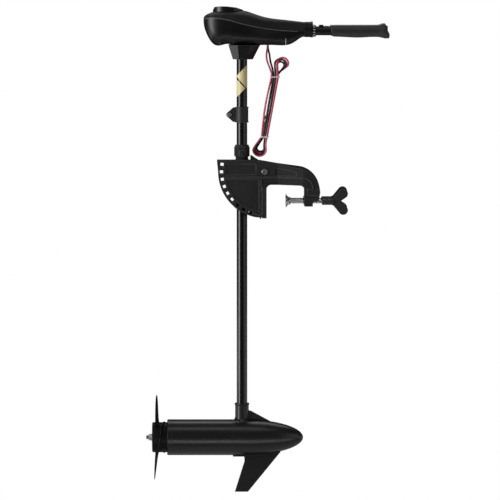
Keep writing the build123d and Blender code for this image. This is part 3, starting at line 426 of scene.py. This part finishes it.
def lead_route(colour):
    """The whole route of a lead, in millimetres: the free stretch, then the folded hank."""
    route = list(LEAD_ROUTES[colour])
    runs, bends = RUNS[colour], BENDS[colour]
    for i, run in enumerate(runs):
        downward = i % 2 == 0
        steps = RUN_STEPS if i < len(runs) - 1 else LAST_RUN_STEPS
        route += [run_point(run, t if downward else 1 - t) for t in steps]
        if i < len(bends):
            route += bend_points(bends[i], not downward, run[1], runs[i + 1][1])
    x = TERMINAL_X[colour]
    route += [(x, TERMINAL_Y - 1, TERMINAL_TOP + 12), (x, TERMINAL_Y, TERMINAL_TOP)]
    return route


def add_lead(colour):
    """One lead as a smooth curve of its whole length."""
    data = bpy.data.curves.new(f"{colour}_power_lead", "CURVE")
    data.dimensions = "3D"
    data.bevel_depth = LEAD / 2
    data.bevel_resolution = 4
    data.resolution_u = 6
    data.use_fill_caps = True
    spline = data.splines.new("NURBS")
    route = lead_route(colour)
    spline.points.add(len(route) - 1)
    for point, place in zip(spline.points, route):
        point.co = (*mm(*place), 1)
    spline.order_u = 3
    spline.use_endpoint_u = True
    data.materials.append(MATERIALS[f"{colour}_lead"])
    made = bpy.data.objects.new(f"{colour}_power_lead", data)
    scene.collection.objects.link(made)
    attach(made, "shaft")
    return made


def add_crimp(colour):
    """The crimped barrel that joins a lead to its ring terminal."""
    x = TERMINAL_X[colour]
    profile = [(-6, 2.6), (-5.5, 3.1), (2, 3.1), (3, 2.7), (4, 2.7), (5, 3.1), (9, 3.1),
               (9.5, 2.6)]
    points, faces = turned(mm(x, TERMINAL_Y, TERMINAL_TOP), (0, 0, 1), profile, 20)
    return add_piece(f"{colour}_crimp", points, faces, "shaft", "tin", auto=40)


for colour, y in LEAD_SIDE.items():
    lead = add_lead(colour)
    crimp = add_crimp(colour)
    replaced = ["lead_red", "lead_hank"] if colour == "red" else ["lead_black"]
    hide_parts(*replaced)


def add_tie_heads():
    """The square locking heads of the two ties, with the trimmed tails through them."""
    parts = []
    for (x, z), width in TIE_WIDTHS.items():
        head = mm(x + width / 2 - TIE_HEAD_INSET, TIE_HEAD_Y, z)
        for half, out in TIE_HEAD_SLABS:
            ring = [(-half, -half), (half, -half), (half, half), (-half, half)]
            parts.append(loft([[head + Vector((a * MM, dy * MM, b * MM)) for a, b in ring]
                               for dy in (-out, out)]))
    points, faces = merged(parts)
    return add_piece("tie_heads", points, faces, "shaft", "nylon", smooth=False)


add_tie_heads()

# ---------------------------------------------------------------- propeller
# Lengths in millimetres, angles in degrees from a blade's tip.
AXIS_Z = centre("armature_shaft").z / MM
PROP_R = (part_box("propeller")[1][2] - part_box("propeller")[0][2]) / 2 / MM
HUB_BACK, HUB_FRONT, HUB_R = -303.0, -263.6, 40.0
BLADE_X = (HUB_BACK + HUB_FRONT) / 2 - 7  # where the line of a blade's tip meets the hub
BLADE_REACH = PROP_R - HUB_R
FRONT_END, BACK_END = 46, 40  # how far round a blade's tall part reaches, either way
ROOT_END, ROOT_HEIGHT = -192, 5.8  # the low root that goes on round the hub
LEAST_HEIGHT = 0.3
PITCH = 41.0  # how far a blade's root climbs along the shaft in one turn
PITCH_LOSS, LOSS_HEIGHT = 0.42, 16  # the share of it lost outward, and the height it's lost by
ROOT_THICK, TIP_THICK = 1.9, 0.85  # half thickness: what the root adds, and the tip's own
LEAN = {-90: -6.6, 90: -1.0}  # how far each blade's tip leans back
BLADE_STATIONS, BLADE_STEPS = 120, 14


def blade_height(turn):
    """Height of a blade above the hub, at an angle from its tip."""
    if turn >= 0:
        return BLADE_REACH * max(0.0, 1 - (turn / FRONT_END) ** 2.6) ** 0.55
    swept = BLADE_REACH * max(0.0, 1 - (-turn / BACK_END) ** 2.4) ** 0.6
    root = ROOT_HEIGHT * max(0.0, 1 - (turn / ROOT_END) ** 6)
    return max(swept, root)


def blade_ring(side, turn, height):
    """A blade's outline at one angle: out along its back face and in along its front."""
    angle = radians(side + turn)
    ring = []
    for face in (-1, 1):
        for j in range(BLADE_STEPS + 1)[::-face]:
            t = j / BLADE_STEPS
            r = HUB_R - 1 + (height + 1) * t
            thick = ROOT_THICK * (1 - t) ** 1.3 + TIP_THICK
            lean = LEAN[side] * (t * height / BLADE_REACH) ** 1.2
            # The pitch eases off outward, so the blade lies nearly square to the shaft.
            climb = -PITCH * turn / 360 * (1 - PITCH_LOSS * min(1, t * height / LOSS_HEIGHT))
            ring.append(mm(BLADE_X + climb + lean + face * thick, r * cos(angle),
                           AXIS_Z + r * sin(angle)))
    return ring


def add_propeller():
    """Hub with an open back, and two blades whose roots wrap half way round it."""
    parts = [turned(mm(0, 0, AXIS_Z), (1, 0, 0), [
        (HUB_FRONT, 12), (HUB_FRONT, HUB_R - 4), (HUB_FRONT, HUB_R - 0.8),
        (HUB_FRONT - 0.8, HUB_R), (HUB_BACK + 3.2, HUB_R), (HUB_BACK + 1, HUB_R - 0.8),
        (HUB_BACK, HUB_R - 2.4), (HUB_BACK, HUB_R - 4.5), (HUB_BACK + 2.5, HUB_R - 6),
        (HUB_BACK + 3.4, HUB_R - 12),
        (HUB_BACK + 3.4, 20), (HUB_BACK + 2.4, 15), (HUB_BACK + 0.1, 13.4), (HUB_BACK + 0.1, 5.2),
        (HUB_BACK + 9, 5.2), (HUB_BACK + 9, 5.1)], 96)]
    for side in LEAN:
        turns = [ROOT_END + i * ((FRONT_END - ROOT_END) / BLADE_STATIONS)
                 for i in range(BLADE_STATIONS + 1)]
        parts.append(loft([blade_ring(side, turn, blade_height(turn))
                           for turn in turns if blade_height(turn) >= LEAST_HEIGHT]))
    points, faces = merged(parts)
    made = add_piece("prop_two_blade", points, faces, "rotor", "propeller", auto=35)
    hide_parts("propeller")


add_propeller()


# ---------------------------------------------------------------- tiller
START_SLANT = 8.0  # how much later the grip's underside starts than its top, in millimetres
END_SLANT = 9.0  # and how much further it reaches at the pommel
SLANT_FADE = 20  # how far from its start the first slant is gone
POMMEL_START, POMMEL_LENGTH = 128, 30  # where the second slant begins, and how fast it grows
GRIP_POINTS = 48


def add_grip():
    """Soft grip: flat slanted start, a belly on its underside and a flared pommel."""
    low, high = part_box("tiller_grip")
    start, end = low[0] / MM - 2, high[0] / MM
    z = (low[2] + high[2]) / 2 / MM
    stations = [  # distance from the start, top, underside and half width, in millimetres
        (0.0, 13.2, 13.2, 13.2), (0.5, 14.6, 14.4, 14.4), (2, 15.6, 15.2, 15.3),
        (5, 15.8, 15.5, 15.4), (20, 15.9, 15.7, 15.4), (45, 15.9, 16.8, 15.5),
        (68, 15.9, 18.2, 15.7), (86, 15.9, 17.8, 15.8), (104, 15.9, 16.5, 15.8),
        (122, 16.0, 16.2, 16.0), (130, 16.4, 16.6, 16.4), (137, 18.2, 18.0, 17.4),
        (142, 19.9, 19.6, 18.6), (147, 20.3, 20.3, 19.2), (153, 19.9, 20.4, 18.8),
        (156.2, 17.6, 19.6, 17.2), (157.8, 14.6, 17.0, 14.4),
        (end - start - 0.2, 11.6, 14.6, 12.0), (end - start - 0.05, 6.0, 8.0, 6.0),
    ]
    rings = []
    for along, top, under, wide in stations:
        ring = []
        for j in range(GRIP_POINTS):
            t = 2 * pi * j / GRIP_POINTS
            tall = top if sin(t) > 0 else under
            slant = START_SLANT * (0.5 - 0.5 * sin(t)) * max(0.0, 1 - along / SLANT_FADE)
            slant -= END_SLANT * (0.5 + 0.5 * sin(t)) * max(
                0.0, (along - POMMEL_START) / POMMEL_LENGTH)
            ring.append(mm(start + along + slant, wide * cos(t), z + tall * sin(t)))
        rings.append(ring)
    points, faces = loft(rings)
    made = add_piece("soft_grip", points, faces, "grip", "grip")
    smoother = made.modifiers.new("round", "SUBSURF")
    smoother.levels = smoother.render_levels = 2
    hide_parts("tiller_grip")


add_grip()

# Print on the dial and the throttle tube, in millimetres.
DASHES = 14
DASH_START, DASH_ENDS, DASH_HALF = 122.7, (128.1, 126.9), 1.6  # along X, and half the width
DIAL_Z, DIAL_X, DIAL_R, DIAL_TAPER = 448, 122.5, 16.6, 0.175
PRINT_LIFT, PRINT_DEPTH = 0.12, 0.3  # how far a dash stands out, and how far it goes in
INDEX_X, INDEX_HALF, INDEX_DEPTH = (137.2, 139.2), 3.55, 4


def patch_on_cone(ends, angle, half, middle):
    """A thin raised mark on a turned surface about X, as a closed slab."""
    rings = []
    for x, r in ends:
        ring = []
        for out, sides in ((PRINT_LIFT, (-half, half)), (-PRINT_DEPTH, (half, -half))):
            for side in sides:
                t = angle + side / r
                ring.append(middle + mm(x, (r + out) * cos(t), (r + out) * sin(t)))
        rings.append(ring)
    return loft(rings)


def add_dial_marks():
    """White dashes round the dial, alternately long and short."""
    parts = []
    for i in range(DASHES):
        end = DASH_ENDS[i % 2]
        ends = ((DASH_START, DIAL_R), (end, DIAL_R - (end - DIAL_X) * DIAL_TAPER))
        parts.append(patch_on_cone(ends, 2 * pi * (i + 0.5) / DASHES, DASH_HALF, mm(0, 0, DIAL_Z)))
    points, faces = merged(parts)
    add_piece("dial_marks", points, faces, "twist", "white_print", smooth=False)


def add_index_mark():
    """The index line across the throttle tube's bump."""
    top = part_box("throttle_tube")[1][2] / MM - 0.02
    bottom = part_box("throttle_tube")[1][2] / MM - INDEX_DEPTH
    outline = [(-INDEX_HALF, bottom), (INDEX_HALF, bottom), (INDEX_HALF, top), (-INDEX_HALF, top)]
    points, faces = loft([[mm(x, y, z) for y, z in outline] for x in INDEX_X])
    add_piece("index_mark", points, faces, "twist", "white_print", smooth=False)


add_dial_marks()
add_index_mark()


# ---------------------------------------------------------------- clamp screws
SCREW_R, SCREW_ROOT, SCREW_CREST, SCREW_PITCH = 4.0, 3.8, 4.14, 2.0  # millimetres
PAD_NECK, KNOB_NECK = 9, 4  # plain lengths at the screw's two ends
SCREW_POINTS, SCREW_STEP = 28, 0.4


def add_screw(side):
    """A clamp screw with a real thread, in the plain CAD screw's space."""
    low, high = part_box(f"clamp_screw_{side}")
    y = (low[1] + high[1]) / 2
    start, end = low[0] / MM, high[0] / MM
    rings = []
    total = int((end - start) / SCREW_STEP)
    for i in range(total + 1):
        x = start + (end - start) * i / total
        plain = x < start + PAD_NECK or x > end - KNOB_NECK
        ring = []
        for j in range(SCREW_POINTS):
            t = 2 * pi * j / SCREW_POINTS
            ridge = 1 - abs(2 * ((x / SCREW_PITCH - j / SCREW_POINTS) % 1.0) - 1)
            rise = (SCREW_CREST - SCREW_ROOT) * min(1.0, max(0.0, ridge * 1.5 - 0.2))
            r = SCREW_R if plain else SCREW_ROOT + rise
            ring.append(Vector((x * MM, y + r * MM * cos(t), r * MM * sin(t))))
        rings.append(ring)
    points, faces = loft(rings)
    made = add_piece(f"threaded_screw_{side}", points, faces, f"clamp_{side}",
                     "steel", auto=50)
    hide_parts(f"clamp_screw_{side}")


for side in ("near", "far"):
    add_screw(side)


# ---------------------------------------------------------------- small trim
CLEAR_OF_OBJECT = -300  # a Y on the near side of everything, in millimetres


def near_side(name):
    """A function giving how far toward the near side a CAD node reaches, at an X and Z."""
    mesh = nodes[name].data
    tree = BVHTree.FromPolygons([v.co for v in mesh.vertices],
                                [tuple(f.vertices) for f in mesh.polygons])

    def reach(x, z):
        place = tree.ray_cast(mm(x, CLEAR_OF_OBJECT, z), Vector((0, 1, 0)))[0]
        return None if place is None else place.y / MM

    return reach


CLIPS = (  # the cover it's on, X, Z, half width and height
    ("junction_cover", -15.4, 417.5, 3.2, 7.5),
    ("head_lower_cover", 43.2, 421.5, 2.4, 4.0),
)
CLIP_PROFILE = ((-1.2, 1.0), (0.9, 1.0), (1.4, 0.7))  # out of the cover, and share of full size
CLIP_POINTS = 20


def squared(value):
    """A cosine or sine drawn toward a rounded square's."""
    return abs(value) ** 0.6 * (1 if value > 0 else -1)


def add_clips():
    """The clip between the lower covers and the round boss behind it, on both sides."""
    parts = []
    turns = [2 * pi * j / CLIP_POINTS for j in range(CLIP_POINTS)]
    for cover, x, z, wide, tall in CLIPS:
        y = near_side(cover)(x, z)
        if y is None:
            continue
        for side in (1, -1):
            parts.append(loft([
                [mm(x + squared(cos(t)) * wide * share, (y - out) * side,
                    z + squared(sin(t)) * tall / 2 * share) for t in turns]
                for out, share in CLIP_PROFILE]))
    points, faces = merged(parts)
    add_piece("cover_clips", points, faces, "shaft", "gauge", auto=40)


add_clips()

# The pale bead along the parting, a painted highlight on the crease: how far inside the cover's
# ends it starts and stops, and its section.
BEAD_INSET, BEAD_END, BEAD_STEP = 3, 84, 2.5
BEAD_DROPS, BEAD_OUTS, BEAD_IN = (0.1, 0.9, 1.9), (0.15, 0.4, 0.1), 0.6


def parting_height(lower, upper, x, under, over):
    """Height at which the lower cover's near side gives way to the upper one's, at an X."""
    for _ in range(14):
        z = (under + over) / 2
        y_low, y_up = lower(x, z), upper(x, z)
        if y_low is not None and (y_up is None or y_low < y_up):
            under = z
        else:
            over = z
    return under


def add_parting_highlight_beads():
    """The slim pale bead that edges the lower cover's ledge on both sides, a painted highlight
    along the parting.
    """
    lower, upper = near_side("head_lower_cover"), near_side("head_upper_cover")
    low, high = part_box("head_lower_cover")
    start = low[0] / MM + BEAD_INSET
    sections = []
    for i in range(int((BEAD_END - start) / BEAD_STEP) + 1):
        x = start + BEAD_STEP * i
        z = parting_height(lower, upper, x, low[2] / MM + 25, high[2] / MM + 1)
        ys = [lower(x, z - drop) for drop in BEAD_DROPS]
        if None in ys:
            continue
        heights = (z, z - BEAD_DROPS[1], z - BEAD_DROPS[2])
        section = [(y - out, height) for y, out, height in zip(ys, BEAD_OUTS, heights)]
        section += [(ys[2] + BEAD_IN, heights[2]), (ys[0] + BEAD_IN, z)]
        sections.append((x, section))
    parts = [loft([[mm(x, y * side, height) for y, height in section]
                   for x, section in sections]) for side in (1, -1)]
    points, faces = merged(parts)
    add_piece("parting_highlight_beads", points, faces, "shaft", "highlight_bead", auto=60)


add_parting_highlight_beads()

LAMPS, LAMP_START, LAMP_STEP = 4, 0.006, 0.0073  # how many, and where along the window, in metres
LAMP_PROFILE = [(-1, 2.0), (0, 2.0), (0.35, 1.7), (0.5, 1.0)]


def add_gauge_lights():
    """Small lamps under the gauge's smoked window."""
    low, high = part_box("gauge_lens")
    y = centre("gauge_lens").y
    parts = [turned(Vector((low[0] + LAMP_START + i * LAMP_STEP, y, high[2] - 0.0002)),
                    (0, 0, 1), LAMP_PROFILE, 20) for i in range(LAMPS)]
    points, faces = merged(parts)
    add_piece("gauge_lights", points, faces, "shaft", "lamp", auto=40)


add_gauge_lights()


# ---------------------------------------------------------------- studio
FLOOR_Z, FLOOR_HALF = -1.05, 14.0
WHITE = (1, 1, 1, 1)
AMBIENT = 0.07  # how bright the surround is to everything but the camera
LIGHTS = (  # name, place, what it faces, width and height, radiance
    ("strip_left", (-2.7, -1.5, -0.1), (0, 0, -0.1), (1.4, 3.2), 6.0),
    ("panel_right", (2.6, -1.5, -0.1), (0, 0, -0.1), (2.6, 3.0), 0.6),
    ("low_left", (-2.3, 0.5, -0.9), (0, 0, 0.3), (1.2, 0.8), 2.0),
    ("low_right", (2.3, 0.5, -0.9), (0, 0, 0.3), (1.2, 0.8), 1.5),
    ("above", (0, 1.6, 2.4), (0, 0, 0), (2.8, 1.0), 2.2),
    ("front_low", (-0.05, -0.95, -1.03), (-0.05, 0, -0.45), (2.4, 0.16), 5.0),
    ("front_high", (-0.2, -2.0, 3.4), (0, 0, 0), (2.8, 1.2), 1.4),
    ("below", (0, 0.1, -1.04), (0, 0.1, 0), (2.4, 0.9), 0.35),
)


def seen_white(tree, kind, output, dim, white):
    """Shows the camera a plain white shader and everything else a dim one."""
    ray = tree.nodes.new("ShaderNodeLightPath")
    mix = tree.nodes.new("ShaderNodeMixShader")
    tree.links.new(ray.outputs["Is Camera Ray"], mix.inputs["Fac"])
    tree.links.new(dim.outputs[kind[0]], mix.inputs[1])
    tree.links.new(white.outputs[kind[1]], mix.inputs[2])
    tree.links.new(mix.outputs["Shader"], tree.nodes[output].inputs["Surface"])


def add_floor():
    """Pale floor, far enough below for its shadows to stay out of the front view."""
    corners = ((-1, -1), (1, -1), (1, 1), (-1, 1))
    mesh = bpy.data.meshes.new("floor")
    mesh.from_pydata([(a * FLOOR_HALF, b * FLOOR_HALF, FLOOR_Z) for a, b in corners], [],
                     [(0, 1, 2, 3)])
    material, tree, shader = new_material("pale_floor")
    shader.inputs["Base Color"].default_value = (0.07, 0.07, 0.07, 1)
    shader.inputs["Roughness"].default_value = 0.9
    white = node(tree, "ShaderNodeEmission", Color=WHITE, Strength=1.0)
    seen_white(tree, ("BSDF", "Emission"), "Material Output", shader, white)
    mesh.materials.append(material)
    made = bpy.data.objects.new("floor", mesh)
    scene.collection.objects.link(made)


def add_world():
    """A pale surround to look at, and a dimmer one to be lit by."""
    world = bpy.data.worlds.new("studio")
    world.use_nodes = True
    tree = world.node_tree
    white = tree.nodes["Background"]
    white.inputs["Strength"].default_value = 1.0
    white.inputs["Color"].default_value = WHITE
    dim = node(tree, "ShaderNodeBackground", Color=WHITE, Strength=AMBIENT)
    seen_white(tree, ("Background", "Background"), "World Output", dim, white)
    scene.world = world


def add_light(name, place, aim, size, radiance):
    """A rectangular soft light that faces a point, as bright as radiance says."""
    data = bpy.data.lights.new(name, "AREA")
    data.shape = "RECTANGLE"
    data.size, data.size_y = size
    data.energy = radiance * pi * size[0] * size[1]
    light = bpy.data.objects.new(name, data)
    scene.collection.objects.link(light)
    light.location = place
    light.rotation_euler = (Vector(aim) - Vector(place)).to_track_quat("-Z", "Y").to_euler()
    light.visible_camera = False


add_floor()
add_world()
for light in LIGHTS:
    add_light(*light)
scene.view_settings.view_transform = "Standard"
scene.view_settings.look = "None"
